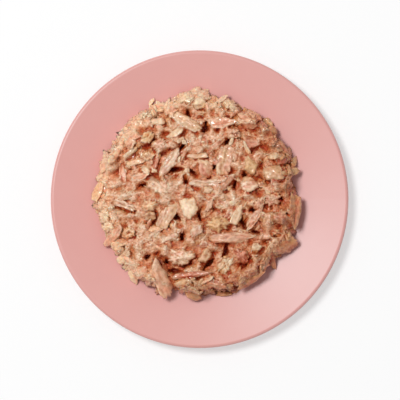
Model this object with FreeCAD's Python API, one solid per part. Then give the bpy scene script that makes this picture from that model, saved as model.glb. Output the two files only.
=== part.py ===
"""Flaked wet food heaped on a round stoneware saucer.

Frame: origin under the saucer's centre on the plane it stands on, +Z up, millimetres.
Two pieces: the saucer, turned about Z, and the food heap. The heap is one solid, a low
mound with flakes of cooked meat lying over it and round its foot, seated on the glaze.
"""

import FreeCAD, Part
import math
import os
import random

from FreeCAD import Placement, Rotation, Vector

# Saucer
plate_diameter = 150.0
plate_wall = 5.0            # thickness of the floor
rim_edge = 2.8              # thickness at the rim's full-round edge, which the wall tapers to
well_radius = 43.0          # flat floor, out to where the wide rim starts to rise
rim_slope = 9.0             # degrees above level
well_blend_radius = 30.0    # soft curve from the floor into the rim
foot_ring_inset = 3.0       # from the well's edge in to the outer face of the ring it stands on
foot_ring_width = 4.0
foot_ring_height = 2.0
foot_ring_round = 0.8

# Mound of food under the flakes
heap_radius = 49.3          # mean reach of the mound's edge from its centre
heap_height = 15.0          # top of the mound above the saucer's floor
heap_centre = Vector(-1.0, 1.6, 0)
mound_fullness = 2.6        # 2 is a round dome, more is steeper at the edge and flatter on top
mound_ripple = 1.0          # height of the mound's own lumps
ripple_length = 21.0        # from one lump to the next
mound_sectors = 32
mound_rings = 6
seat_clearance = 0.1        # between the food's underside and the glaze

# Bulges and dents of the mound's edge: direction in degrees, reach in mm, half width in degrees
edge_lobes = [(10, -2.2, 6), (22, 1.8, 6), (50, 1.0, 12), (93, 3.0, 10), (128, 1.2, 9), (160, 1.8, 6),
              (183, 2.4, 9), (230, 2.2, 6), (260, -2.0, 7), (340, 1.2, 12)]

# The small flakes that cover the mound
flake_length = 12.5
flake_width = 5.2
flake_thickness = 2.2
flake_corners = 6
flake_crown = 0.62          # size of a flake's top face against its base
flake_unevenness = 0.28     # share by which lengths and corners stray from even
flake_lean = 22.0           # degrees, the most that a flake leans out of the mound's surface
flake_spacing = 9.4         # between neighbours on top of the mound
foot_spacing = 9.0          # between neighbours round the mound's foot
foot_rows = 2               # rows of flakes up the steep side
flake_seed = 11

# The large flakes on top: x, y, turn of the long side in degrees, length, width
large_flakes = [(-15.0, 18.0, 55, 18.5, 5.8), (-6.5, 38.8, -28, 17.0, 6.0), (11.5, 38.3, 3, 15.5, 6.4),
                (12.5, 19.5, 75, 17.0, 9.0), (25.5, 17.0, 115, 10.5, 7.5), (3.0, 8.0, 0, 17.0, 4.4),
                (-5.0, -4.5, 105, 11.5, 9.0), (-16.5, -8.0, 62, 17.0, 7.5), (-38.0, -2.8, -20, 14.5, 3.8),
                (19.0, -7.5, 68, 11.5, 5.0), (16.5, -19.3, 4, 25.0, 6.0), (9.0, -12.5, -10, 12.0, 9.0),
                (-4.0, -37.5, 5, 20.0, 4.2), (37.0, 13.5, 0, 11.0, 8.0), (47.0, -6.0, 88, 19.0, 6.5),
                (42.0, -23.0, 25, 14.0, 8.0), (25.5, -39.5, 33, 16.0, 4.2), (-19.5, -39.0, 115, 21.0, 8.5),
                (-43.0, -18.0, 48, 14.0, 5.0), (-49.5, 4.5, 65, 12.0, 5.0)]
large_flake_thickness = 2.8
large_flakes_reach = 49.3   # the heap_radius that their places are drawn for, and spread with it


def floor_z():
    return foot_ring_height + plate_wall


def foot_ring_reach():
    return well_radius - foot_ring_inset


def glaze_z(radius):
    """Height of the saucer's upper surface, its floor and rim as two straight runs."""
    return floor_z() + max(0.0, radius - well_radius) * math.tan(math.radians(rim_slope))


def glaze_edges(reach, lift=0.0):
    """The upper surface from the axis out to reach, with the corner at the well rounded."""
    start = Vector(0, 0, floor_z() + lift)
    corner = Vector(well_radius, 0, floor_z() + lift)
    end = Vector(reach, 0, glaze_z(reach) + lift)
    slope = math.radians(rim_slope)
    tangent = well_blend_radius * math.tan(slope / 2)
    into = corner - Vector(tangent, 0, 0)
    out = corner + Vector(tangent * math.cos(slope), 0, tangent * math.sin(slope))
    middle = into + Vector(well_blend_radius * math.sin(slope / 2), 0,
                           well_blend_radius * (1 - math.cos(slope / 2)))
    return [Part.makeLine(start, into), Part.Arc(into, middle, out).toShape(), Part.makeLine(out, end)]


def turned(edges):
    """A solid of revolution about Z, from edges that a run up the axis closes."""
    axis_run = Part.makeLine(edges[-1].lastVertex().Point, edges[0].firstVertex().Point)
    return Part.Face(Part.Wire(edges + [axis_run])).revolve(Vector(0, 0, 0), Vector(0, 0, 1), 360)


def rounded_circles(body, circles, radius):
    """Body with its circular edges of the given (radius, height) rounded."""
    def wanted(edge):
        curve = edge.Curve
        return isinstance(curve, Part.Circle) and any(
            math.isclose(curve.Radius, r, abs_tol=1e-4) and math.isclose(curve.Center.z, z, abs_tol=1e-4)
            for r, z in circles)
    return body.makeFillet(radius, [edge for edge in body.Edges if wanted(edge)])


def saucer():
    slope = math.radians(rim_slope)
    outward = Vector(math.cos(slope), 0, math.sin(slope))
    upward = Vector(-math.sin(slope), 0, math.cos(slope))
    half_edge = rim_edge / 2
    edge_reach = plate_diameter / 2 - half_edge * (1 + math.sin(slope))
    edge_top = Vector(edge_reach, 0, glaze_z(edge_reach))
    edge_middle = edge_top - upward * half_edge
    edge_bottom = edge_middle - upward * half_edge
    full_round = Part.Arc(edge_top, edge_middle + outward * half_edge, edge_bottom).toShape()
    ring_outside = foot_ring_reach()
    ring_inside = ring_outside - foot_ring_width
    underside = [edge_bottom, Vector(ring_outside, 0, foot_ring_height), Vector(ring_outside, 0, 0),
                 Vector(ring_inside, 0, 0),
                 Vector(ring_inside, 0, foot_ring_height), Vector(0, 0, foot_ring_height)]
    runs = [Part.makeLine(a, b) for a, b in zip(underside, underside[1:])]
    body = turned(glaze_edges(edge_reach) + [full_round] + runs)
    ring_corners = [(ring_outside, 0), (ring_inside, 0), (ring_inside, foot_ring_height)]
    return rounded_circles(body, ring_corners, foot_ring_round)


def heap_point(direction, share):
    """The place at a share of the mound's reach from its centre, direction in degrees."""
    reach = heap_edge(direction) * share
    turn = math.radians(direction)
    return heap_centre.x + reach * math.cos(turn), heap_centre.y + reach * math.sin(turn)


def heap_edge(direction):
    """Reach of the mound's edge from its centre, direction in degrees."""
    lobes = sum(reach * math.exp(-(((direction - at + 180) % 360 - 180) / half_width) ** 2)
                for at, reach, half_width in edge_lobes)
    return heap_radius + lobes


def mound_z(x, y):
    """Height of the mound's surface over the plane the saucer stands on."""
    dx, dy = x - heap_centre.x, y - heap_centre.y
    share = min(1.0, math.hypot(dx, dy) / heap_edge(math.degrees(math.atan2(dy, dx))))
    dome = heap_height * (1 - share ** mound_fullness) ** (1 / mound_fullness)
    wave = 2 * math.pi / ripple_length
    ripple = mound_ripple * math.sin(wave * x + 0.8) * math.cos(wave * y - 0.4) * (1 - share)
    return floor_z() + dome + ripple


def closed_solid(faces):
    shell = Part.Shell(faces)
    shell.sewShape()
    solid = Part.Solid(shell)
    if solid.Volume < 0:
        solid.reverse()
    return solid


def facet(*corners):
    return Part.Face(Part.makePolygon([*corners, corners[0]]))


def mound():
    """The faceted mound, carried down below the glaze, where the seat trims it."""
    def surface(ring, sector):
        # Rings crowd towards the steep edge.
        share = math.sin(math.pi / 2 * ring / mound_rings)
        x, y = heap_point(360 * sector / mound_sectors, share)
        return Vector(x, y, mound_z(x, y))

    def foot(sector):
        x, y = heap_point(360 * sector / mound_sectors, 1)
        return Vector(x, y, 0)

    summit, nadir = surface(0, 0), Vector(heap_centre)
    faces = []
    for sector in range(mound_sectors):
        after = (sector + 1) % mound_sectors
        faces.append(facet(summit, surface(1, sector), surface(1, after)))
        for ring in range(1, mound_rings):
            inner, inner_after = surface(ring, sector), surface(ring, after)
            outer, outer_after = surface(ring + 1, sector), surface(ring + 1, after)
            faces += [facet(inner, outer, outer_after), facet(inner, outer_after, inner_after)]
        edge, edge_after = surface(mound_rings, sector), surface(mound_rings, after)
        faces += [facet(edge, foot(sector), foot(after)), facet(edge, foot(after), edge_after),
                  facet(foot(sector), nadir, foot(after))]
    return closed_solid(faces)


def leaf(length, width, thickness, chance):
    """A leaf-shaped chip with flat facets, its base centred on the origin, long side on X."""
    base = []
    for corner in range(flake_corners):
        turn = 2 * math.pi * (corner + chance.uniform(-0.2, 0.2)) / flake_corners
        stray = 1 + chance.uniform(-flake_unevenness, flake_unevenness) / 2
        base.append(Vector(length / 2 * math.cos(turn) * stray, width / 2 * math.sin(turn) * stray, 0))
    crown = [Vector(point.x * flake_crown, point.y * flake_crown, thickness) for point in base]
    sides = [facet(base[i], base[i - 1], crown[i - 1], crown[i]) for i in range(flake_corners)]
    return closed_solid([facet(*base), facet(*crown)] + sides)


def mound_normal(x, y, step=0.8):
    rise_x = (mound_z(x + step, y) - mound_z(x - step, y)) / (2 * step)
    rise_y = (mound_z(x, y + step) - mound_z(x, y - step)) / (2 * step)
    return Vector(-rise_x, -rise_y, 1).normalize()


def laid(chip, x, y, z, turn, lean, chance):
    """The chip at x, y, z on the mound's slope, turned about the slope's normal and leaning out of it."""
    slope = Rotation(Vector(0, 0, 1), mound_normal(x, y))
    tip = Rotation(Vector(chance.uniform(-1, 1), chance.uniform(-1, 1), 0), lean)
    chip.Placement = Placement(Vector(x, y, z), slope * tip * Rotation(Vector(0, 0, 1), turn))
    return chip


def small_flake(chance):
    grow = 1 + chance.uniform(-flake_unevenness, flake_unevenness)
    return leaf(flake_length * grow, flake_width * grow, flake_thickness, chance)


def top_flakes(chance):
    """Small flakes over the mound, spread by a sunflower spiral and sunk to mid-thickness."""
    golden_turn = 180 * (3 - math.sqrt(5))
    count = round(math.pi * heap_radius ** 2 / flake_spacing ** 2)
    for index in range(count):
        x, y = heap_point(index * golden_turn, math.sqrt((index + 0.5) / count) * 0.97)
        yield laid(small_flake(chance), x, y, mound_z(x, y) - flake_thickness / 2,
                   chance.uniform(0, 360), chance.uniform(0, flake_lean), chance)


def foot_flakes(chance):
    """Rows of small flakes up the mound's steep side, the lowest on the glaze."""
    count = round(2 * math.pi * heap_radius / foot_spacing)
    for row in range(foot_rows):
        for index in range(count):
            direction = 360 * (index + row / foot_rows + chance.uniform(-0.3, 0.3)) / count
            x, y = heap_point(direction, 0.985 - 0.03 * row)
            z = glaze_z(heap_edge(direction)) + flake_thickness * (0.2 + 1.5 * row)
            yield laid(small_flake(chance), x, y, z, chance.uniform(-50, 50) + direction + 90,
                       chance.uniform(0, flake_lean), chance)


def prominent_flakes(chance):
    spread = heap_radius / large_flakes_reach
    for drawn_x, drawn_y, turn, length, width in large_flakes:
        x = heap_centre.x + (drawn_x - heap_centre.x) * spread
        y = heap_centre.y + (drawn_y - heap_centre.y) * spread
        yield laid(leaf(length, width, large_flake_thickness, chance), x, y,
                   mound_z(x, y) - large_flake_thickness / 4, turn, chance.uniform(0, flake_lean / 3), chance)


def below_seat():
    """All that lies under the food's seat, which follows the glaze at the seat's clearance."""
    reach = plate_diameter / 2 + flake_length
    seat = glaze_edges(reach, seat_clearance)
    corner = seat[-1].lastVertex().Point
    depth = -flake_length
    return turned(seat + [Part.makeLine(corner, Vector(corner.x, 0, depth)),
                          Part.makeLine(Vector(corner.x, 0, depth), Vector(0, 0, depth))])


def food_heap():
    chance = random.Random(flake_seed)
    flakes = [*top_flakes(chance), *foot_flakes(chance), *prominent_flakes(chance)]
    return mound().multiFuse(flakes).cut(below_seat())


def main():
    os.makedirs("parts", exist_ok=True)
    for name, piece in (("saucer", saucer()), ("food_heap", food_heap())):
        piece.exportStep(f"parts/{name}.step")
        print(f"{name}: valid {piece.isValid()}, {len(piece.Solids)} solid, {len(piece.Faces)} faces, "
              f"{piece.Volume / 1000:.1f} cm3")


main()
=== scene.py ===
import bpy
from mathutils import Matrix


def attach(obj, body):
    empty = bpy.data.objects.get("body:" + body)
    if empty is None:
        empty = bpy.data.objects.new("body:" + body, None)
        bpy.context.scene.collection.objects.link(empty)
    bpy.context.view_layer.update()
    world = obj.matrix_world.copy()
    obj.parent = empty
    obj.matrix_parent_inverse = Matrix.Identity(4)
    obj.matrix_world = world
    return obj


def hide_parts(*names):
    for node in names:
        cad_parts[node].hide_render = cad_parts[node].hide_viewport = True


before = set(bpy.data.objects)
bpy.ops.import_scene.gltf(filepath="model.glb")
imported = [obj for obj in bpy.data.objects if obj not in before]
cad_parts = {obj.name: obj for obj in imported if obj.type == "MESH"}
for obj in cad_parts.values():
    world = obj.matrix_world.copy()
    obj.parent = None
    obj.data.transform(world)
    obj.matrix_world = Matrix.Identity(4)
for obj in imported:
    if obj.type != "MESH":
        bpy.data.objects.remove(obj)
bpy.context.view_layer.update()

import math

import bpy
import numpy as np
from mathutils import Vector

# A saucer of flaked cooked fish and meat. The saucer is the part's own solid with a glaze. The
# heap is built here from its real contents: a core of mash, and flakes, nuggets, shreds and
# crumbs that are laid on it one by one, each where the pile under it carries it. Lengths are
# millimetres until a mesh is made. The light comes from the upper left.

MM = 0.001

# The saucer's upper surface and the mound, as in the part's source but with a steeper side
floor_z = 7.0
well_radius = 43.0
well_blend_radius = 30.0
rim_slope = math.radians(9.0)
heap_radius = 49.3
heap_height = 15.0
heap_centre = (-1.0, 1.6)
side_height = 5.0           # the heap's steep side, below its dome
side_gain = 5.5             # how much higher that is at the lower right
side_edge = 14              # the higher, the sharper the turn from dome to side
dome_curve = 1.7            # the higher, the flatter the dome's middle
mound_ripple = 1.0
ripple_length = 21.0
# Lobes of the edge: direction in degrees, how far it stands out there, half width in degrees
edge_lobes = [(10, -2.2, 6), (22, 1.8, 6), (50, 1.0, 12), (93, 3.0, 10), (128, 1.2, 9),
              (160, 1.8, 6), (183, 2.4, 9), (230, 2.2, 6), (260, -2.0, 7), (340, 1.2, 12)]

# The core of mash under and between the pieces
core_depth = 5.4            # how far its top first lies under the finished heap
edge_depth = 3.5            # the same near the heap's edge
core_cells = 290            # points along each side of its grid
hollow_depth = 2.0          # how much deeper the core goes in the open places
hollow_long = 1.7           # an open place's length and width against its radius
hollow_wide = 0.6
hollow_turn = 2.4           # how much further each is turned than the last, in radians
mash_sink = 0.3             # how far the mash between the pieces lies under their mean height
gap_depth = 2.0             # how far the mash drops where it has parted from a flake
gap_shift = (4, -4)         # cells towards the lower right, away from the light, where it parts
lump_sizes = (4.6, 2.3, 1.15)          # of the mash, the smaller on the larger
side_lump_sizes = (3.0, 1.5)           # the same down the steep side
side_lump_depth = 1.3       # how far the steep side's own lumps stand out

# The pile and what is laid on it
cell = 0.25                 # the pile's height is kept on squares of this size
pile_reach = 62.0           # half the width of the square that it covers
crumb_seed = 7
side_bits = 240             # bits pressed into the steep side
over_hollows = -9.0         # a margin that lets pieces lie in the open places too
lean = 0.8                  # how far a piece takes up the slope under it
piece_gap = 0.15            # least height of a piece over the glaze
mash_gap = 0.3              # the same for the mash's top
bed_gap = 0.05              # and for its underside

# Painted shade and painted light
painted_shade_power = 3.6           # how much deeper the painted shade makes the colour low down, as a power
painted_shade_takes = (-0.05, 0.15, 0.27)      # what full painted shade takes from red, green and blue
painted_light_adds = (0.12, 0.05, -0.02)     # what the painted light on the heap's edge adds to them


def glaze_z(radius):
    """Height of the saucer's upper surface."""
    tangent = well_blend_radius * math.tan(rim_slope / 2)
    into = well_radius - tangent
    curve = np.clip(radius - into, 0, well_blend_radius * math.sin(rim_slope))
    blend = floor_z + well_blend_radius - np.sqrt(well_blend_radius ** 2 - curve ** 2)
    straight = floor_z + (radius - well_radius) * math.tan(rim_slope)
    return np.where(radius > well_radius + tangent * math.cos(rim_slope), straight, blend)


def heap_edge(direction):
    """Reach of the mound's edge from its centre, direction in degrees."""
    reach = np.full(np.shape(direction), heap_radius)
    for at, bulge, half_width in edge_lobes:
        reach = reach + bulge * np.exp(-(((direction - at + 180) % 360 - 180) / half_width) ** 2)
    return reach


def heap_share(x, y):
    """0 at the mound's centre and 1 at its edge."""
    dx, dy = x - heap_centre[0], y - heap_centre[1]
    return np.hypot(dx, dy) / heap_edge(np.degrees(np.arctan2(dy, dx)))


def heap_point(direction, share):
    """The place in that direction, in degrees, at that share of the way to the edge."""
    reach = float(heap_edge(np.array(direction))) * share
    turn = math.radians(direction)
    return heap_centre[0] + reach * math.cos(turn), heap_centre[1] + reach * math.sin(turn)


def heap_z(x, y):
    """The heap's mean height: a low dome that ends in a steep side."""
    share = np.clip(heap_share(x, y), 0, 1)
    wave = 2 * math.pi / ripple_length
    ripple = mound_ripple * np.sin(wave * x + 0.8) * np.cos(wave * y - 0.4) * (1 - share)
    steep = side_height + side_gain * smooth(-40, 30, (x - y) * 0.7)
    side = steep * (1 - share ** side_edge) ** (1 / side_edge)
    return floor_z + side + (heap_height - steep) * (1 - share ** dome_curve) + ripple


def unrolled(x, y, z):
    """Where a point of the heap's steep side would lie if the side were folded out flat."""
    drop = np.clip(floor_z + heap_height - z, 0, None)
    away = 1 + drop / np.maximum(np.hypot(x - heap_centre[0], y - heap_centre[1]), 20)
    return heap_centre[0] + (x - heap_centre[0]) * away, heap_centre[1] + (y - heap_centre[1]) * away


# ---- Chance that repeats itself

def dice(ix, iy, salt):
    """The same throw from 0 to 1 each time for each whole-numbered place."""
    mix = (ix * 374761393 + iy * 668265263 + salt * 362437) & 0xFFFFFFFF
    mix = ((mix ^ (mix >> 13)) * 1274126177) & 0xFFFFFFFF
    return ((mix ^ (mix >> 16)) & 0xFFFF) / 65535


def lumps(x, y, salt):
    """Smooth uneven values from 0 to 1, one lump to each unit."""
    ix, iy = np.floor(x).astype(np.int64), np.floor(y).astype(np.int64)
    fx, fy = x - ix, y - iy
    fx, fy = fx * fx * (3 - 2 * fx), fy * fy * (3 - 2 * fy)
    low = dice(ix, iy, salt) * (1 - fx) + dice(ix + 1, iy, salt) * fx
    high = dice(ix, iy + 1, salt) * (1 - fx) + dice(ix + 1, iy + 1, salt) * fx
    return low * (1 - fy) + high * fy


def ridges(x, y, salt):
    """Thin crests of height 1, where the lumps pass their middle value."""
    return 1 - np.abs(2 * lumps(x, y, salt) - 1)


def clods(x, y, size, salt):
    """Height of a bed of torn lumps about that size, and a value from 0 to 1 for each lump."""
    warp = 0.35 * size
    x = x + warp * (lumps(x / size * 1.7 + 7, y / size * 1.7, salt + 1) - 0.5) * 2
    y = y + warp * (lumps(x / size * 1.7, y / size * 1.7 + 9, salt + 2) - 0.5) * 2
    ix, iy = np.floor(x / size).astype(np.int64), np.floor(y / size).astype(np.int64)
    height, own = np.full(x.shape, -1.0), np.zeros(x.shape)
    for kx in (-1, 0, 1):
        for ky in (-1, 0, 1):
            jx, jy = ix + kx, iy + ky
            dx = x / size - jx - dice(jx, jy, salt + 3)
            dy = y / size - jy - dice(jx, jy, salt + 4)
            turn = math.pi * dice(jx, jy, salt + 5)
            along = dx * np.cos(turn) + dy * np.sin(turn)
            across = dy * np.cos(turn) - dx * np.sin(turn)
            far = (along / 1.1) ** 2 + (across / 0.66) ** 2
            lump = (0.6 * np.sqrt(np.clip(1 - far, 0, 1)) + 0.3 * dice(jx, jy, salt + 6)
                    - 1.0 * (far >= 1))
            own = np.where(lump > height, dice(jx, jy, salt + 7), own)
            height = np.maximum(height, lump)
    return np.clip(height, -0.1, 1) * size, own


def smooth(low, high, value):
    """0 up to low and 1 from high on, with an even passage between them."""
    share = np.clip((value - low) / (high - low), 0, 1)
    return share * share * (3 - 2 * share)


# ---- Colours

def linear(code):
    """Linear red, green and blue of an sRGB hex colour."""
    parts = np.array([int(code[i:i + 2], 16) / 255 for i in (1, 3, 5)])
    return np.where(parts <= 0.04045, parts / 12.92, ((parts + 0.055) / 1.055) ** 2.4)


tones = {
    "pink": linear("#ecc3a7"), "rose": linear("#e3a68b"), "pale": linear("#f0d3ba"),
    "tan": linear("#ebc7a4"), "cream": linear("#f0d6b9"), "gold": linear("#eac49a"),
    "mash": linear("#ecc7ab"),
}

# How far a tone's blotches turn rose
rosiness = {"cream": 0.15, "tan": 0.3, "gold": 0.1}
usual_rosiness = 0.6


def mixed(one, other, share):
    """One colour turned into the other, by that share at each point."""
    share = share[..., None]
    return one * (1 - share) + other * share


# ---- One piece of food

def disc(rows, columns):
    """A grid bent to fill a unit disc, and the faces of a closed skin over and under it."""
    u, v = np.meshgrid(np.linspace(-1, 1, rows), np.linspace(-1, 1, columns), indexing="ij")
    x, y = u * np.sqrt(1 - v * v / 2), v * np.sqrt(1 - u * u / 2)
    over = np.arange(rows * columns).reshape(rows, columns)
    inside = np.zeros((rows, columns), bool)
    inside[1:-1, 1:-1] = True
    under = over.copy()
    under[inside] = rows * columns + np.arange(inside.sum())
    faces = []
    for grid, turn in ((over, 1), (under, -1)):
        corners = [grid[:-1, :-1], grid[1:, :-1], grid[1:, 1:], grid[:-1, 1:]][::turn]
        faces.append(np.stack([corner.ravel() for corner in corners], 1))
    return x, y, inside, np.concatenate(faces)


discs = {}


def outline(angle, chance, corners, pointed, ragged):
    """Reach in each direction of a torn piece: straight runs between corners, with fine tears."""
    at = (np.arange(corners) + chance.uniform(-0.36, 0.36, corners)) * 2 * math.pi / corners
    reach = chance.uniform(0.7, 1.15, corners)
    reach *= 1 - pointed * 0.45 * np.abs(np.sin(at)) ** 1.5
    at = np.concatenate([at, [at[0] + 2 * math.pi]])
    reach = np.concatenate([reach, [reach[0]]])
    angle = (angle - at[0]) % (2 * math.pi) + at[0]
    after = np.clip(np.searchsorted(at, angle, side="right"), 1, corners)
    a, b, ra, rb = at[after - 1], at[after], reach[after - 1], reach[after]
    straight = ra * rb * np.sin(b - a) / (ra * np.sin(angle - a) + rb * np.sin(b - angle))
    straight = 0.6 * straight + 0.4 * (ra + (rb - ra) * smooth(0, 1, (angle - a) / (b - a)))
    salt = int(chance.integers(1 << 20))
    tears = lumps(np.cos(angle) * 3 + 9, np.sin(angle) * 3 + 9, salt) - 0.5
    fine = lumps(np.cos(angle) * 8 + 29, np.sin(angle) * 8 + 29, salt) - 0.5
    return straight * (1 + ragged * (0.35 * tears + 0.3 * fine))


def torn_piece(make, length, width, chance):
    """Points over and under a piece, its long side on X, with the colour of each point."""
    form = forms[make]
    size = form["cells"]
    if size not in discs:
        discs[size] = disc(*size)
    unit_x, unit_y, inside, faces = discs[size]
    rim = np.hypot(unit_x, unit_y)
    angle = np.arctan2(unit_y, unit_x)
    reach = outline(angle, chance, form["corners"], form["pointed"], form["ragged"])
    x, y = unit_x * reach, unit_y * reach
    x = (x - (x.max() + x.min()) / 2) / (x.max() - x.min()) * length
    y = (y - (y.max() + y.min()) / 2) / (y.max() - y.min()) * width
    salt = int(chance.integers(1 << 20))
    thick = form["thickness"] * chance.uniform(0.8, 1.2) * min(1.0, width / form["full_width"])
    crown = np.clip(1 - rim ** form["crown"], 0, 1) ** (1 / form["crown"])
    bow = chance.normal(0, form["bow"]) * (2 * x / length) ** 2
    cup = chance.normal(0, form["cup"]) * (2 * y / width) ** 2
    twist = chance.normal(0, form["twist"]) * (2 * x / length) * (2 * y / width)
    middle = bow + cup + twist
    # Muscle fibres run along the piece. Lumps break them up, and a layer may have come away.
    fibres = ridges(x / form["fibre"][0] + 50, y / form["fibre"][1] + 50, salt)
    rough = lumps(x / 1.9 + 90, y / 1.9 + 90, salt + 3) - 0.5
    rough += 0.6 * (lumps(x / 0.95 + 70, y / 0.95 + 70, salt + 4) - 0.5)
    relief = form["groove"] * (fibres - 0.6) + form["lumpy"] * rough
    if form["clod"]:
        relief += form["clod"] * (clods(x + 60, y + 60, 2.6, salt % 999)[0] - 0.9)
        relief += form["clod"] * (clods(x + 60, y + 60, 1.4, salt % 997)[0] - 0.5)
    if chance.random() < form["layers"]:
        wander = 0.22 * (lumps(x / 4 + 30, np.full(x.shape, 5.0), salt + 5) - 0.5)
        split = width * (chance.uniform(-0.25, 0.3) + wander)
        side = chance.choice([-1, 1])
        relief -= thick * 0.3 * smooth(0, 0.45, side * (y - split))
    over = middle + crown * (0.6 * thick + relief)
    under = middle - crown * thick * 0.4
    top = np.stack([x, y, over], -1)
    bottom = np.stack([x, y, under], -1)[inside]
    return dict(top=top, bottom=bottom, faces=faces, rim=rim, fibres=fibres, rough=rough, salt=salt)


def tinted(piece, colour, width, chance):
    """The piece's colour at each point: its own tone, paler where thin, with painted shade that
    makes it redder and deeper in its grooves and lighter on its raised lumps.
    """
    x, y, salt = piece["top"][..., 0], piece["top"][..., 1], piece["salt"]
    main, *second = colour.split("_")
    tone = np.broadcast_to(tones[main], x.shape + (3,)).copy()
    if second:
        # The second tone lies beyond a wavering line along the piece.
        line = 0.18 * width * (lumps(x / 3 + 11, y / 3 + 11, salt + 6) - 0.5)
        tone = mixed(tone, tones[second[0]], smooth(-0.12 * width, 0.12 * width, y + line))
    blotch = smooth(0.35, 0.8, lumps(x / 2.2 + 21, y / 1.3 + 21, salt + 8))
    tone = mixed(tone, tones["rose"], rosiness.get(main, usual_rosiness) * blotch)
    thin = smooth(0.62, 0.95, piece["rim"]) * 0.9 * lumps(x / 3 + 31, y / 3, salt + 9)
    tone = mixed(tone, tones["cream"], thin)
    # Painted shade: the tone deepens in the grooves between the fibres.
    groove = np.clip(0.5 - piece["fibres"], 0, 1)[..., None] * 0.45
    tone = tone ** (1 + groove)
    # Painted light and shade: lighter where the lumps raise the piece and darker where they sink it.
    return tone * chance.uniform(0.93, 1.05) * (1 + 0.16 * piece["rough"][..., None])


# How each make is shaped: cells along and across, thickness and the width at which it is full,
# then how round, how torn, how bent and how rough it is
forms = {
    "leaf": dict(cells=(34, 14), thickness=2.2, full_width=4.5, crown=2.8,
                 corners=7, pointed=0.8, ragged=0.5, bow=0.8, cup=0.5, twist=0.5,
                 fibre=(4, 1.3), groove=0.12, lumpy=0.5, clod=0.1, layers=0.8),
    "slab": dict(cells=(30, 18), thickness=2.6, full_width=5.0, crown=2.8,
                 corners=8, pointed=0.35, ragged=0.6, bow=0.8, cup=0.6, twist=0.5,
                 fibre=(3.4, 1.5), groove=0.15, lumpy=0.7, clod=0.14, layers=0.9),
    "nugget": dict(cells=(20, 16), thickness=3.8, full_width=6.0, crown=2.8,
                   corners=8, pointed=0.2, ragged=0.5, bow=0.3, cup=0.3, twist=0.3,
                   fibre=(3, 2.2), groove=0.3, lumpy=0.8, clod=0.2, layers=0.6),
    "mass": dict(cells=(24, 19), thickness=3.0, full_width=6.0, crown=2.2,
                 corners=9, pointed=0.1, ragged=1.0, bow=0.4, cup=0.4, twist=0.4,
                 fibre=(2.4, 1.3), groove=0.2, lumpy=0.8, clod=0.8, layers=0.2),
    "chip": dict(cells=(18, 9), thickness=1.6, full_width=3.2, crown=2.6,
                 corners=7, pointed=0.6, ragged=0.8, bow=0.8, cup=0.4, twist=0.6,
                 fibre=(3, 0.9), groove=0.25, lumpy=0.5, clod=0.15, layers=0.4),
    "strip": dict(cells=(22, 7), thickness=1.3, full_width=2.2, crown=2.4,
                  corners=7, pointed=0.8, ragged=0.6, bow=0.9, cup=0.1, twist=0.6,
                  fibre=(4, 0.9), groove=0.2, lumpy=0.4, clod=0.0, layers=0.0),
    "bit": dict(cells=(9, 6), thickness=1.4, full_width=2.4, crown=2.2,
                corners=5, pointed=0.5, ragged=0.9, bow=0.3, cup=0.2, twist=0.3,
                fibre=(3, 0.9), groove=0.2, lumpy=0.7, clod=0.0, layers=0.0),
    "crumb": dict(cells=(5, 5), thickness=1.0, full_width=1.2, crown=2.2,
                  corners=5, pointed=0.3, ragged=0.6, bow=0.1, cup=0.1, twist=0.1,
                  fibre=(1.5, 0.9), groove=0.1, lumpy=0.4, clod=0.0, layers=0.0),
    "shred": dict(cells=(9, 4), thickness=0.55, full_width=0.7, crown=2.2,
                  corners=5, pointed=0.6, ragged=0.2, bow=0.7, cup=0.0, twist=0.2,
                  fibre=(5, 0.6), groove=0.05, lumpy=0.15, clod=0.0, layers=0.0),
}


# ---- The pile, kept as a height for each cell

# Open places between the flakes, where the core lies deep and shows dark, in real shade and painted
# shade: x, y, radius
hollows = [(-11.5, 15, 3.4), (-3, 13.2, 2.0), (-7, 9.5, 1.8), (-8.5, 26.5, 1.3), (-28, 7, 2.0),
           (-11.5, -9, 2.2), (0, -9, 1.9), (2.5, 35, 2.6), (7, 16, 1.8), (4, 11.5, 1.2),
           (22.5, 12, 1.8), (17.5, 7, 1.7), (27, -5, 2.0), (28.5, -16.5, 1.8), (22, -12.5, 2.0),
           (13, -25, 2.4), (5, -32, 2.4), (-12, -36, 2.2), (-17, -31, 1.8), (-9, -18.5, 1.8),
           (-26, -29, 1.6), (39, -18, 1.8), (44, -8, 1.4), (-6, 43, 1.8), (14, 29, 1.5),
           (24.5, 30.5, 1.2), (-25.5, -13, 1.3), (-22, 41, 1.3)]

steps = np.arange(-pile_reach, pile_reach, cell) + cell / 2
pile_x, pile_y = np.meshgrid(steps, steps, indexing="ij")


def mash_relief(x, y):
    """Torn lumps of fish with smaller ones on them, and their fine threads."""
    large, small, fine = (clods(x, y, size, 31 + index)[0] for index, size in enumerate(lump_sizes))
    threads = lumps(x / 0.6, y / 0.6, 34) - 0.5
    return 0.6 * large + 0.7 * small + 0.6 * fine + 0.4 * threads - 2.4


def hollowness(x, y):
    """1 in the open places and 0 outside them."""
    inside = np.zeros(np.shape(x))
    uneven = 0.5 + 1.1 * lumps(x / 2.4 + 3, y / 2.4 + 3, 36) + 0.7 * lumps(x / 1.1, y / 1.1, 37)
    for index, (hx, hy, radius) in enumerate(hollows):
        turn = hollow_turn * index
        along = (x - hx) * math.cos(turn) + (y - hy) * math.sin(turn)
        across = (y - hy) * math.cos(turn) - (x - hx) * math.sin(turn)
        away = np.hypot(along / hollow_long, across / hollow_wide) * uneven
        inside = np.maximum(inside, smooth(radius * 1.3, radius * 0.6, away))
    return inside


def core_z(x, y):
    """The core's top before anything is laid on it."""
    depth = edge_depth + (core_depth - edge_depth) * smooth(0.97, 0.7, heap_share(x, y))
    return heap_z(x, y) - depth - hollow_depth * hollowness(x, y)


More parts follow.
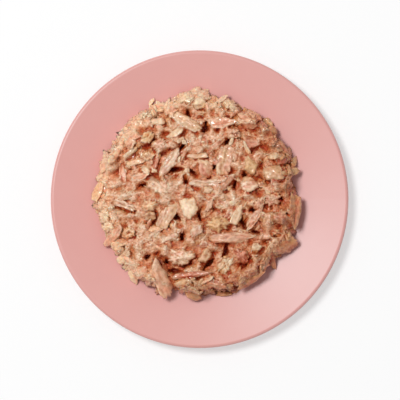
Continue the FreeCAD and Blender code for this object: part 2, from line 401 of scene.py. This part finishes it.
pile_share = heap_share(pile_x, pile_y)
pile_bed = glaze_z(np.hypot(pile_x, pile_y))
pile = np.maximum(np.where(pile_share < 1, core_z(pile_x, pile_y), 0), pile_bed)
kept = np.zeros(pile.shape, bool)      # cells that a listed piece keeps to itself
heaped = {}                            # the pieces of each kind, as laid


def height_at(field, x, y):
    """The field's height between its cells."""
    u, v = (x + pile_reach) / cell - 0.5, (y + pile_reach) / cell - 0.5
    i, j = np.floor(u).astype(int), np.floor(v).astype(int)
    fu, fv = u - i, v - j
    low = field[i, j] * (1 - fu) + field[i + 1, j] * fu
    high = field[i, j + 1] * (1 - fu) + field[i + 1, j + 1] * fu
    return low * (1 - fv) + high * fv


def cells_at(x, y):
    """Row and column of the cell at each place."""
    count = len(steps)
    return (np.clip(((x + pile_reach) / cell).astype(int), 0, count - 1),
            np.clip(((y + pile_reach) / cell).astype(int), 0, count - 1))


def refined(grid):
    """The grid with a point put in the middle of each run."""
    rows, columns = grid.shape[:2]
    wide = np.empty((2 * rows - 1, columns, 3))
    wide[::2], wide[1::2] = grid, (grid[1:] + grid[:-1]) / 2
    full = np.empty((2 * rows - 1, 2 * columns - 1, 3))
    full[:, ::2], full[:, 1::2] = wide, (wide[:, 1:] + wide[:, :-1]) / 2
    return full


def lay(kind, make, colour, x, y, turn, length, width, chance, hold=0.86, keep=False, most=None,
        steepest=0.9):
    """Lays a piece on the pile at x, y, tipped as what lies under it tips it.

    Hold is the share of its underside that stays clear of the pile, so that the rest presses in.
    It isn't laid where more than the share most of it would cover kept cells. Steepest is the
    steepest slope that it takes up.
    """
    piece = torn_piece(make, length, width, chance)
    tone = tinted(piece, colour, width, chance)
    angle = math.radians(turn)

    def turned(points):
        placed = points.copy()
        placed[..., 0] = x + math.cos(angle) * points[..., 0] - math.sin(angle) * points[..., 1]
        placed[..., 1] = y + math.sin(angle) * points[..., 0] + math.cos(angle) * points[..., 1]
        return placed

    top, bottom = turned(piece["top"]), turned(piece["bottom"])
    spots = cells_at(bottom[:, 0], bottom[:, 1])
    if most is not None and kept[spots].mean() > most:
        return
    need = pile[spots] - bottom[:, 2]
    across = np.stack([bottom[:, 0] - x, bottom[:, 1] - y, np.ones(len(bottom))], 1)
    slope = np.linalg.lstsq(across, need, rcond=None)[0][:2] * lean
    steep = math.hypot(*slope)
    slope = slope * min(1.0, steepest / max(steep, 1e-6))
    rise = np.quantile(need - across[:, :2] @ slope, hold)
    for points in (top, bottom):
        points[..., 2] += rise + (points[..., 0] - x) * slope[0] + (points[..., 1] - y) * slope[1]
        # Nothing goes through the saucer.
        bed = glaze_z(np.hypot(points[..., 0], points[..., 1]))
        points[..., 2] = np.maximum(points[..., 2], bed + piece_gap)
    fine = top
    while np.abs(np.diff(fine[:, fine.shape[1] // 2, :2], axis=0)).max() > cell * 0.8:
        fine = refined(fine)
    spots = cells_at(fine[..., 0], fine[..., 1])
    np.maximum.at(pile, spots, fine[..., 2])
    if keep:
        kept[spots] = True
    points = np.concatenate([top.reshape(-1, 3), bottom])
    inside = discs[forms[make]["cells"]][2]
    # Each piece takes its grain from a place of its own.
    grain = np.stack([piece["top"][..., 0] + 40 * chance.random(),
                      piece["top"][..., 1] + 40 * chance.random(),
                      np.full(tone.shape[:2], 40 * chance.random())], -1)
    # The undersides take a tone a fifth darker, a painted shade.
    heaped.setdefault(kind, []).append(dict(
        points=points, faces=piece["faces"],
        tone=np.concatenate([tone.reshape(-1, 3), tone[inside] * 0.8]),
        grain=np.concatenate([grain.reshape(-1, 3), grain[inside]])))


def in_hollow(x, y, margin):
    """Whether the place is in an open place or within that margin of one."""
    return any(math.hypot(x - hx, y - hy) < radius + margin for hx, hy, radius in hollows)


def scatter(kind, make, count, chance, colours, lengths, slender, reach, margin, **how):
    """Lays many small pieces, evenly spread by a sunflower spiral from the middle to the edge.

    Slender is their width against their length, reach the two shares of the way to the edge that
    they lie between, and margin how far their middles keep from the open places.
    """
    sunflower_turn = 180 * (3 - math.sqrt(5))
    for index in range(count):
        direction = index * sunflower_turn + chance.uniform(-8, 8)
        share = reach[0] + (reach[1] - reach[0]) * math.sqrt((index + chance.random()) / count)
        x, y = heap_point(direction % 360, share)
        length = chance.uniform(*lengths)
        turn = chance.uniform(0, 180)
        colour = colours[int(chance.integers(len(colours)))]
        if not in_hollow(x, y, margin):
            width = length * chance.uniform(*slender)
            lay(kind, make, colour, x, y, turn, length, width, chance, **how)


# Pieces that stand out, from the lowest to the topmost: make, colour, x, y, turn of the long side
# in degrees, length, width
by_hand = [
    ("mass", "pale", -20, 27, 30, 9, 7), ("mass", "pink", -14, 28, 0, 8, 6),
    ("mass", "pale", -19, -45, 20, 9, 6), ("mass", "pale", 0, 53, 0, 12, 8),
    ("mass", "cream", -7, 51, 20, 8, 7), ("mass", "pink", -14.5, 45, 90, 9, 7),
    ("mass", "cream", 15.5, 47.5, -35, 10, 6), ("mass", "pink", 27, 41, 0, 9, 8),
    ("mass", "tan", -36, -17, 0, 8, 7), ("mass", "pale", -9, -29, 0, 14, 9),
    ("mass", "cream", 13, -33, 45, 11, 7), ("mass", "pink", 40, -9, 0, 9, 8),
    ("mass", "rose", 21, -28.5, -35, 10, 8), ("mass", "pink", 17, 33, 0, 8, 6),
    ("mass", "tan", -41, -24, 0, 8, 6), ("mass", "cream", -46, -14, 0, 7, 6),
    ("mass", "cream", -48, -8, 95, 10, 6), ("mass", "tan", -30, 30, 30, 9, 8),
    ("mass", "pink", -34, 30, 60, 11, 7), ("mass", "mash", 36, 0, 0, 10, 8),
    ("mass", "mash", 30, -2, 40, 9, 7), ("slab", "rose_pink", 26, 28.5, 0, 9, 7),
    ("chip", "rose", 41.5, 19.5, 0, 6, 4), ("chip", "pink", 25, 37, -5, 9, 4),
    ("chip", "pink", 22.5, 41, -40, 8, 3.4), ("chip", "pink", 17.5, 43, 35, 6, 2.5),
    ("mass", "tan", -26, 22, 20, 8, 6), ("leaf", "pink", -21, 46.5, 5, 9, 3.4),
    ("leaf", "pink", -47, 18, 55, 11, 5), ("slab", "pink_cream", -43, 22, 50, 10, 5),
    ("leaf", "cream", -24.5, 48.5, 65, 6, 2.4), ("leaf", "cream", -37, 36, 70, 7, 3),
    ("leaf", "pale", 11.5, 50.5, 40, 7, 2.6), ("leaf", "tan", -3, -48.5, -20, 9, 5),
    ("slab", "cream_pink", -33, -39, -70, 9, 5), ("leaf", "pink", -29, -37, 45, 8, 5),
    ("slab", "cream", -38, -29, 50, 9, 5), ("leaf", "pink", 18, -45.5, 20, 7, 4),
    ("leaf", "pink", 8, -42.5, -15, 12, 5), ("chip", "tan", 12, -47.5, 5, 9, 3),
    ("strip", "pale", 3.5, -40.5, 25, 8, 2.5), ("slab", "cream", -8.5, -42, 10, 9, 5),
    ("leaf", "pink_tan", 26, -40.5, 33, 17, 4), ("leaf", "rose", -4, -37.5, 5, 20, 3.8),
    ("strip", "pink", -20.5, -31, -40, 7, 3.4), ("slab", "pink_tan", 43, -23.5, 25, 14, 8),
    ("leaf", "pink", 36.5, -31, -75, 10, 3.6), ("slab", "pink_tan", 48, -6, 88, 19, 6.5),
    ("nugget", "tan", 37, 13.5, 0, 11, 8), ("nugget", "cream", 36.5, 21.5, 10, 6.5, 3.8),
    ("leaf", "pink", 42, 25.5, -48, 10, 3.6), ("chip", "cream", 47.5, 19, 75, 6, 4),
    ("chip", "cream", 47.5, 14, 10, 6, 4.5), ("nugget", "cream", 34.5, 38.5, -50, 6, 4),
    ("nugget", "tan", 37, 34.5, -60, 5.5, 4), ("slab", "tan_gold", -51, 4.5, 65, 12, 5),
    ("chip", "pink", -30, 11.5, 15, 10, 4.4), ("leaf", "pink", -38.7, 13, 97, 12, 3.8),
    ("leaf", "cream", -34.5, 23.5, 42, 9.5, 3), ("chip", "rose", -22, 18, 80, 7, 3),
    ("nugget", "gold", -26, 31, 35, 8.5, 6), ("nugget", "cream", -21, 39, 10, 8, 4.2),
    ("strip", "tan", -31, 19, 12, 13, 3.6), ("nugget", "cream", -27, 14.5, -40, 4.8, 3.6),
    ("nugget", "cream", -22.5, 14, -15, 3.6, 2.6), ("slab", "rose_tan", 3, 15.5, -60, 11, 8),
    ("leaf", "pink", 8, 27, 38, 12, 3), ("strip", "pink", -7.5, 23.5, 55, 6, 2.4),
    ("strip", "tan", -1, 21.7, 5, 11, 3), ("chip", "cream", -9.5, 29.5, 30, 4.4, 3),
    ("chip", "cream", -7.5, 28.6, 0, 3.2, 3), ("nugget", "cream", 0, 48, 0, 7, 6),
    ("leaf", "tan", -6.5, 38.8, -28, 17, 6), ("leaf", "cream", -12.5, 33, 35, 9.5, 3.8),
    ("slab", "pink", 11.5, 38.3, 3, 15.5, 6.4), ("strip", "cream", 16, 29, 65, 6, 2.4),
    ("slab", "pink_tan", 12.5, 19.5, 75, 17, 9), ("strip", "cream", 23.7, 25, -65, 9, 2.8),
    ("nugget", "gold", 25.5, 17, 115, 10.5, 7.5), ("nugget", "pale", 25, 7.5, 0, 9.5, 8.5),
    ("leaf", "pink", 14, 9, 50, 11, 4), ("leaf", "pale", 3, 8, 0, 17, 4.2),
    ("leaf", "pale", -15, 18, 55, 18.5, 5.8), ("slab", "pale", -38, -2.8, -20, 14.5, 3.8),
    ("mass", "tan", -25, -3, 20, 9, 7), ("nugget", "tan", -25, -8, 0, 6.5, 5.4),
    ("chip", "pink", -25, -12.5, 70, 6, 3.2), ("slab", "tan_pink", -16.5, -8, 62, 17, 7.8),
    ("leaf", "pale", -15, -19.5, 25, 9.5, 3.8), ("slab", "pale", -1.5, -16, 60, 8, 6),
    ("chip", "pink", 5, -3, 62, 8, 3.2), ("chip", "cream", 11, -4, -15, 4.4, 2.8),
    ("leaf", "pink", 14.5, -7.5, 60, 7, 2.8), ("chip", "cream", 16, -2, 0, 4.4, 3.2),
    ("nugget", "cream", 4.5, 4.5, 0, 5, 4), ("nugget", "cream", -5, -4.5, 105, 11.5, 9),
    ("mass", "gold", 9, -12.5, -10, 12, 9), ("slab", "pink", 27, -10, 55, 14, 4.4),
    ("chip", "pink", 33, -18, 0, 5.5, 5), ("nugget", "tan", 3, -28.5, 55, 8.5, 5.2),
    ("nugget", "cream", 28.5, -24.5, 0, 6, 5.6), ("nugget", "pale", 2, -22.5, 0, 4.4, 4),
    ("leaf", "pink", 16.5, -19.3, 4, 25, 6), ("leaf", "cream", 19, -7.5, 68, 11.5, 5),
    ("leaf", "pink", -43.5, -18.5, 48, 14, 5), ("slab", "pink", -19.5, -39.5, 115, 21, 8.5),
]


def softened(field, reach):
    """The field with a bell-shaped blur of that reach, in millimetres."""
    span = int(3 * reach / cell)
    bell = np.exp(-0.5 * (np.arange(-span, span + 1) * cell / reach) ** 2)
    bell /= bell.sum()
    rows = np.apply_along_axis(lambda line: np.convolve(line, bell, "same"), 0, field)
    return np.apply_along_axis(lambda line: np.convolve(line, bell, "same"), 1, rows)


def filled_in(surface, sink):
    """The mash's height when it fills the seams of what is laid, apart from the open places."""
    torn = (0.05 * (lumps(pile_x / 3.3, pile_y / 3.3, 39) - 0.5)
            + 0.03 * lumps(pile_x / 1.3, pile_y / 1.3, 40))
    rising = smooth(1, 0.96, pile_share + torn)
    full = (surface - sink) * rising + pile_bed * (1 - rising)
    open_place = hollowness(pile_x, pile_y)
    return full * (1 - open_place) + np.minimum(full, core_z(pile_x, pile_y)) * open_place


def heap_up():
    """Lays the heap from its bed to its last crumbs. The mash's height comes back."""
    chance = np.random.default_rng(crumb_seed)
    warm = ["pink", "rose", "mash", "tan", "pink", "rose_tan"]
    light = ["cream", "pale", "tan", "pink", "cream"]
    every = warm + light
    # Lumps of mash, first all over and then round the edge
    scatter("clumps", "mass", 50, chance, every, (8, 13), (0.6, 0.85), (0, 0.88), 2.5, hold=0.6)
    scatter("clumps", "mass", 54, chance, light, (8, 12), (0.6, 0.8), (0.86, 0.955),
            over_hollows, hold=0.5)
    relief = mash_relief(pile_x, pile_y) * smooth(0.99, 0.93, pile_share)
    mound = np.maximum(softened(pile, 1.2) + 0.5, heap_z(pile_x, pile_y) - 1.0)
    mash = filled_in(mound + relief, 0.0)
    np.maximum(pile, mash, out=pile)
    scatter("bits", "bit", 260, chance, every, (3.5, 6.5), (0.4, 0.8), (0, 0.985), 0.8, hold=0.35)
    for make, colour, x, y, turn, length, width in by_hand:
        kind = {"mass": "clumps", "nugget": "nuggets"}.get(make, "flakes")
        lay(kind, make, colour, x, y, turn, length, width, chance, keep=True, hold=0.75)
    scatter("small_flakes", "chip", 420, chance, every, (4, 11), (0.3, 0.7), (0, 0.97), 1.0,
            most=0.22, hold=0.45)
    for index in range(side_bits):
        # Bits pressed into the steep side, their long side mostly round it
        direction = (index + chance.random()) * 360 / side_bits
        x, y = heap_point(direction, chance.uniform(0.945, 1.0))
        length = chance.uniform(3.5, 7.5)
        colour = light[int(chance.integers(len(light)))]
        turn = direction + 90 + chance.normal(0, 45)
        lay("bits", "bit", colour, x, y, turn, length, length * chance.uniform(0.35, 0.55), chance,
            most=0.4, hold=0.45, steepest=3.0)
    scatter("bits", "bit", 160, chance, every, (2.5, 5), (0.4, 0.8), (0, 0.99), 0.6,
            most=0.4, hold=0.4)
    scatter("crumbs", "crumb", 500, chance, light + ["mash"], (0.9, 2.2), (0.6, 1.0), (0, 1.0), 0.2,
            most=0.5, hold=0.3)
    scatter("shreds", "shred", 200, chance, light + ["pink"], (2.5, 6), (0.1, 0.17), (0, 1.0), 0.2,
            most=0.7, hold=0.4)
    mash = np.maximum(mash, filled_in(softened(pile, 0.7) + 0.8 * relief, mash_sink))
    # The mash has parted from the flakes here and there, and laps over their edges elsewhere.
    covered = softened(kept.astype(float), 0.6)
    free = smooth(0.3, 0.5, lumps(pile_x / 4.3, pile_y / 4.3, 38))
    beside = smooth(0.1, 0.5, np.roll(covered, gap_shift, (0, 1)) - covered) * free
    mash = np.maximum(mash - gap_depth * beside, pile_bed)
    return np.where(covered > 0.9 - 0.5 * free, np.minimum(mash, pile - 0.3), mash)


def shelter(field):
    """How far the pile around each cell hides it from the sky, from 0 in the open to 1."""
    total = np.zeros(field.shape)
    turns = np.arange(0, 2 * math.pi, math.pi / 6)
    for turn in turns:
        rise = np.zeros(field.shape)
        for distance in (0.5, 1.0, 1.8, 3.0, 5.0):
            away = (round(distance * math.cos(turn) / cell),
                    round(distance * math.sin(turn) / cell))
            rise = np.maximum(rise, (np.roll(field, away, (0, 1)) - field) / distance)
        total += rise / np.sqrt(1 + rise ** 2)
    return total / len(turns)


def painted_shade(points, tone):
    """Painted shade: deepens the colour low down between the pieces, where the pile hides a point
    from the sky and where a point lies under the pile's top, and painted light pales the heap's
    edge.
    """
    x, y, z = points.T
    spots = cells_at(x, y)
    hidden = sheltered[spots]
    low = (0.15 * smooth(0.08, 0.3, hidden) + 0.9 * smooth(0.25, 0.9, hidden)
           + 0.15 * np.clip(pile[spots] - z - 0.7, 0, 3))
    # The food is wetter towards the lower right, where the juice has run.
    # Painted shade: more of it towards the lower right, the heap's side away from the light.
    wet = smooth(-45, 45, x * 0.9 - y * 0.4)
    # Painted light: the heap's edge stays pale and loses its painted shade on the upper left, which
    # faces the light, and down its steep side all round.
    share = heap_share(x, y)
    edge = smooth(0.8, 0.95, share)
    painted_edge_light = np.maximum(edge * smooth(0.7, 0.2, wet), 0.6 * smooth(0.95, 0.99, share))[:, None]
    low = np.clip(low + 0.08 * (wet - 0.45), 0, 1)[:, None] * (1 - 0.9 * painted_edge_light)
    # Painted shade: the heap's edge on the lower right, which faces away from the light, is deeper
    # and darker.
    painted_edge_shade = (edge * smooth(0.5, 0.9, wet))[:, None]
    # A little painted shade mostly darkens, and a lot of it turns the meat deep red.
    deep = 0.75 * low + 0.25 * low ** 3
    dulled = 1 - 0.5 * low * (1 - low)
    return (tone ** (1.03 + painted_shade_power * deep + 0.5 * painted_edge_shade) * dulled
            * (1 - low * painted_shade_takes) * (1 + painted_edge_light * painted_light_adds) * (1 - 0.1 * painted_edge_shade))


# ---- Meshes

def mesh_piece(name, points, faces, material, tone=None, grain=None):
    """A mesh object from millimetre points and faces of four or three corners."""
    mesh = bpy.data.meshes.new(name)
    sizes = np.full(len(faces), faces.shape[1])
    mesh.vertices.add(len(points))
    mesh.vertices.foreach_set("co", (points * MM).astype(np.float32).ravel())
    mesh.loops.add(faces.size)
    mesh.loops.foreach_set("vertex_index", faces.astype(np.int32).ravel())
    mesh.polygons.add(len(faces))
    mesh.polygons.foreach_set("loop_start", (np.cumsum(sizes) - sizes).astype(np.int32))
    mesh.polygons.foreach_set("use_smooth", np.ones(len(faces), bool))
    if tone is not None:
        paint = mesh.attributes.new("tone", "FLOAT_COLOR", "POINT")
        opaque = np.concatenate([np.clip(tone, 0, 1), np.ones((len(tone), 1))], 1)
        paint.data.foreach_set("color", opaque.astype(np.float32).ravel())
    if grain is not None:
        run = mesh.attributes.new("grain", "FLOAT_VECTOR", "POINT")
        run.data.foreach_set("vector", grain.astype(np.float32).ravel())
    mesh.update(calc_edges=True)
    mesh.validate()
    mesh.materials.append(material)
    piece = bpy.data.objects.new(name, mesh)
    bpy.context.scene.collection.objects.link(piece)
    return piece


def ring_of(grid):
    """The grid's outermost values, once round."""
    return np.concatenate([grid[:-1, 0], grid[-1, :-1], grid[:0:-1, -1], grid[0, :0:-1]])


def core():
    """The mash that binds the heap, closed underneath just above the glaze."""
    unit_x, unit_y, inside, faces = disc(core_cells, core_cells)
    share = np.hypot(unit_x, unit_y)
    # The points lie closer together down the steep side.
    share = share + 0.12 * np.sin(math.pi * share)
    direction = np.degrees(np.arctan2(unit_y, unit_x))
    reach = heap_edge(direction) * share
    x = heap_centre[0] + reach * np.cos(np.radians(direction))
    y = heap_centre[1] + reach * np.sin(np.radians(direction))
    fill = height_at(mash_z, x, y) + 0.25 * (lumps(x / 0.5, y / 0.5, 35) - 0.5)
    # The steep side has lumps of its own.
    flat = unrolled(x, y, np.maximum(fill, glaze_z(np.hypot(x, y))))
    large, small = (clods(*flat, size, 41 + index)[0] for index, size in enumerate(side_lump_sizes))
    bulge = 0.6 * large + 0.6 * small - 1.1
    out = 1 + side_lump_depth * smooth(0.9, 0.97, share) * bulge / reach
    x = heap_centre[0] + (x - heap_centre[0]) * out
    y = heap_centre[1] + (y - heap_centre[1]) * out
    bed = glaze_z(np.hypot(x, y))
    z = np.where(inside, np.maximum(fill, bed + mash_gap), bed + bed_gap)
    points = np.stack([x, y, z], -1)
    # The underside: a ring of faces inwards from the edge, closed by a fan round one middle point
    count = core_cells * core_cells
    rim = ring_of(np.arange(count).reshape(core_cells, core_cells))
    inner = ring_of(points) * (0.82, 0.82, 1)
    inner[:, 2] = glaze_z(np.hypot(inner[:, 0], inner[:, 1])) + bed_gap
    ring = count + np.arange(len(rim))
    under = np.stack([rim, ring, np.roll(ring, -1), np.roll(rim, -1)], 1)
    middle = np.full(len(ring) // 2, count + len(rim))
    closing = np.stack([ring[::2], middle, np.roll(ring, -2)[::2], np.roll(ring, -1)[::2]], 1)
    over = faces[:len(faces) // 2]
    points = np.concatenate([points.reshape(-1, 3), inner, [[*heap_centre, floor_z + bed_gap]]])
    return points, np.concatenate([over, under, closing])


def core_tones(points):
    """The mash's colours: pink to pale, lump by lump."""
    place = unrolled(*points.T)
    large, small = (clods(*place, size, 31 + index)[1] for index, size in enumerate(lump_sizes[:2]))
    own = np.clip(large * 0.6 + small * 0.4, 0, 1)
    tone = mixed(tones["pink"], tones["mash"], smooth(0.25, 0.5, own))
    return mixed(tone, tones["pale"], smooth(0.5, 0.8, own))


def food(piece):
    """The piece stands in for the part's heap and goes where the saucer goes."""
    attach(piece, "root")
    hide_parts("food_heap")


# ---- Materials

def add(tree, kind, settings=(), **links):
    """Adds a node. Settings go on the node or, with a socket's name, on its input."""
    node = tree.nodes.new(kind)
    for name, value in dict(settings).items():
        if isinstance(name, int) or name in node.inputs:
            node.inputs[name].default_value = value
        else:
            setattr(node, name, value)
    for name, source in links.items():
        # A link named _0, _1 and so on goes to the input of that number.
        key = int(name[1:]) if name[1:].isdigit() else name.replace("_", " ")
        tree.links.new(source, node.inputs[key])
    return node


def stretched(tree, source, low, high, bottom, top):
    """The source's values from low to high, stretched over bottom to top."""
    return add(tree, "ShaderNodeMapRange", {"From Min": low, "From Max": high, "To Min": bottom,
                                            "To Max": top}, Value=source).outputs[0]


def new_material(name):
    """A material, its node tree and its Principled shader."""
    material = bpy.data.materials.new(name)
    material.use_nodes = True
    tree = material.node_tree
    return material, tree, tree.nodes["Principled BSDF"]


def cooked_fish(name, fibre_length, fibre_width, grain_depth, crease_shade_power, mottle, wet, soft_depth):
    """Cooked fish and meat: pale muscle with a fine grain, soft inside, moist from its own juice.

    Fibre sizes, grain and soft depth are millimetres. Crease shade power is the power of the painted
    shade that deepens the tone in the creases, mottle how far its lightness varies, wet the
    roughness where it is wettest.
    """
    material, tree, skin = new_material(name)
    tone = add(tree, "ShaderNodeAttribute", {"attribute_name": "tone"})
    run = add(tree, "ShaderNodeAttribute", {"attribute_name": "grain"})
    scale = (1 / fibre_length, 1 / fibre_width, 1 / fibre_width)
    along = add(tree, "ShaderNodeMapping", {"Scale": scale}, Vector=run.outputs["Vector"])
    fibres = add(tree, "ShaderNodeTexNoise", {"Scale": 1.0, "Detail": 3.0, "Roughness": 0.6},
                 Vector=along.outputs[0]).outputs["Fac"]
    # Painted shade and light: the noise that raises the bump makes the tone lighter on the grain's
    # ridges and deeper in its creases.
    shade = stretched(tree, fibres, 0.3, 0.7, 1 - mottle, 1 + mottle)
    crease_shade = stretched(tree, fibres, 0.3, 0.5, crease_shade_power, 1.0)
    deep = add(tree, "ShaderNodeGamma", {}, Color=tone.outputs["Color"], Gamma=crease_shade)
    tint = add(tree, "ShaderNodeVectorMath", {"operation": "MULTIPLY"}, _0=deep.outputs["Color"],
               _1=shade)
    tree.links.new(tint.outputs[0], skin.inputs["Base Color"])
    raised = add(tree, "ShaderNodeBump", {"Strength": 0.7, "Distance": grain_depth * MM},
                 Height=fibres)
    tree.links.new(raised.outputs[0], skin.inputs["Normal"])
    # A film of juice lies on it in patches.
    film = add(tree, "ShaderNodeTexNoise", {"Scale": 0.8, "Detail": 2.0},
               Vector=run.outputs["Vector"]).outputs["Fac"]
    tree.links.new(stretched(tree, film, 0.35, 0.65, wet, wet + 0.28), skin.inputs["Roughness"])
    tree.links.new(stretched(tree, film, 0.42, 0.54, 0.0, 1.0), skin.inputs["Coat Weight"])
    skin.inputs["Coat Roughness"].default_value = 0.1
    skin.inputs["IOR"].default_value = 1.42
    skin.inputs["Subsurface Weight"].default_value = 0.7
    skin.inputs["Subsurface Radius"].default_value = (1.0, 0.78, 0.64)
    skin.inputs["Subsurface Scale"].default_value = soft_depth * MM
    return material


def satin_glaze():
    """Stoneware with a satin pink glaze: an even soft sheen with a faint cloudiness."""
    material, tree, skin = new_material("satin_pink_glaze")
    place = add(tree, "ShaderNodeTexCoord")
    cloud = add(tree, "ShaderNodeTexNoise", {"Scale": 1 / (9 * MM), "Detail": 2.0},
                Vector=place.outputs["Object"])
    mix = add(tree, "ShaderNodeMix", {"data_type": "RGBA"}, Factor=cloud.outputs["Fac"])
    mix.inputs[6].default_value = (*linear("#e1a39c"), 1)
    mix.inputs[7].default_value = (*linear("#e3a69f"), 1)
    tree.links.new(mix.outputs[2], skin.inputs["Base Color"])
    peel = add(tree, "ShaderNodeTexNoise", {"Scale": 1 / (1.6 * MM), "Detail": 1.0},
               Vector=place.outputs["Object"])
    dimple = add(tree, "ShaderNodeBump", {"Strength": 0.12, "Distance": 0.03 * MM},
                 Height=peel.outputs["Fac"])
    tree.links.new(dimple.outputs[0], skin.inputs["Normal"])
    skin.inputs["Roughness"].default_value = 0.37
    skin.inputs["IOR"].default_value = 1.5
    skin.inputs["Specular Tint"].default_value = (0.62, 0.95, 1.0, 1)
    return material


def white_floor():
    """Plain white paper, which shows as the background's white and keeps the shadow."""
    material, tree, skin = new_material("white_paper")
    skin.inputs["Base Color"].default_value = (0.97, 0.97, 0.97, 1)
    skin.inputs["Roughness"].default_value = 0.9
    skin.inputs["Specular IOR Level"].default_value = 0.0
    # Half of what is seen of it is its own white, which throws no light on the part.
    path = add(tree, "ShaderNodeLightPath")
    seen = add(tree, "ShaderNodeMath", {"operation": "MAXIMUM"}, _0=path.outputs["Is Camera Ray"],
               _1=path.outputs["Is Glossy Ray"])
    seen = add(tree, "ShaderNodeMath", {"operation": "MAXIMUM"}, _0=seen.outputs[0],
               _1=path.outputs["Is Transmission Ray"])
    half = add(tree, "ShaderNodeMath", {"operation": "MULTIPLY", 1: 0.5}, _0=seen.outputs[0])
    white = add(tree, "ShaderNodeEmission", {"Strength": 1.0})
    both = add(tree, "ShaderNodeMixShader", {}, _0=half.outputs[0], _1=skin.outputs[0],
               _2=white.outputs[0])
    tree.links.new(both.outputs[0], tree.nodes["Material Output"].inputs["Surface"])
    return material


# ---- Studio, in metres

camera_height = 2.0
view_height = 0.011         # the height at which the view is view_width wide
view_width = 0.2014
light_from = (145, 67, 2.4)     # direction from +X towards +Y and height, in degrees, and distance
light_width = 0.7
light_power = 40.0
wall_light = 0.36
floor_reach = 2.0


def around(azimuth, elevation, distance):
    """A place at that direction and distance from the heap, azimuth from +X towards +Y."""
    a, e = math.radians(azimuth), math.radians(elevation)
    flat = distance * math.cos(e)
    return Vector((flat * math.cos(a), flat * math.sin(a), distance * math.sin(e)))


def studio():
    """One soft light from the upper left, even walls and a white floor, seen from above."""
    scene = bpy.context.scene
    camera = bpy.data.cameras.new("camera")
    camera.sensor_width = 36.0
    camera.lens = camera.sensor_width * (camera_height - view_height) / view_width
    camera.clip_start = 0.01
    eye = bpy.data.objects.new("camera", camera)
    eye.location = (0.0002, -0.0004, camera_height)
    scene.collection.objects.link(eye)
    scene.camera = eye
    soft_box = bpy.data.lights.new("soft_box", "AREA")
    soft_box.shape, soft_box.size, soft_box.energy = "DISK", light_width, light_power
    lamp = bpy.data.objects.new("soft_box", soft_box)
    lamp.location = around(*light_from)
    lamp.rotation_euler = (-lamp.location).to_track_quat("-Z", "Y").to_euler()
    scene.collection.objects.link(lamp)
    world = bpy.data.worlds.new("studio_walls")
    world.use_nodes = True
    world.node_tree.nodes["Background"].inputs["Color"].default_value = (1, 1, 1, 1)
    world.node_tree.nodes["Background"].inputs["Strength"].default_value = wall_light
    scene.world = world
    scene.view_settings.view_transform = "Standard"
    side = floor_reach / MM
    corners = np.array([(-side, -side, 0), (side, -side, 0), (side, side, 0), (-side, side, 0)])
    mesh_piece("floor", corners, np.array([[0, 1, 2, 3]]), white_floor())


# ---- The whole part

studio()
mash_z = heap_up()
sheltered = shelter(np.maximum(pile, mash_z))

# Name, fibre length and width, grain depth, crease shade power, mottle, wet, soft depth
fish = cooked_fish("cooked_fish_flake", 1.9, 1.1, 0.2, 1.25, 0.12, 0.34, 0.7)
mince = cooked_fish("minced_fish", 1.5, 0.9, 0.5, 1.5, 0.2, 0.36, 1.1)
nugget = cooked_fish("firm_white_meat", 2.6, 1.4, 0.15, 1.2, 0.1, 0.34, 0.9)
materials = {"crumbs": mince, "clumps": mince, "nuggets": nugget}      # every other kind is fish
for kind, laid in heaped.items():
    points, tone, grain = (np.concatenate([one[what] for one in laid])
                           for what in ("points", "tone", "grain"))
    starts = np.cumsum([0] + [len(one["points"]) for one in laid[:-1]])
    faces = np.concatenate([one["faces"] + start for one, start in zip(laid, starts)])
    food(mesh_piece(kind, points, faces, materials.get(kind, fish), painted_shade(points, tone), grain))

core_points, core_faces = core()
core_tone = painted_shade(core_points, core_tones(core_points))
food(mesh_piece("mash_core", core_points, core_faces, mince, core_tone, core_points))

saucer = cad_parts["saucer"]
glaze = satin_glaze()
for slot in saucer.material_slots:
    slot.material = glaze
if not saucer.material_slots:
    saucer.data.materials.append(glaze)
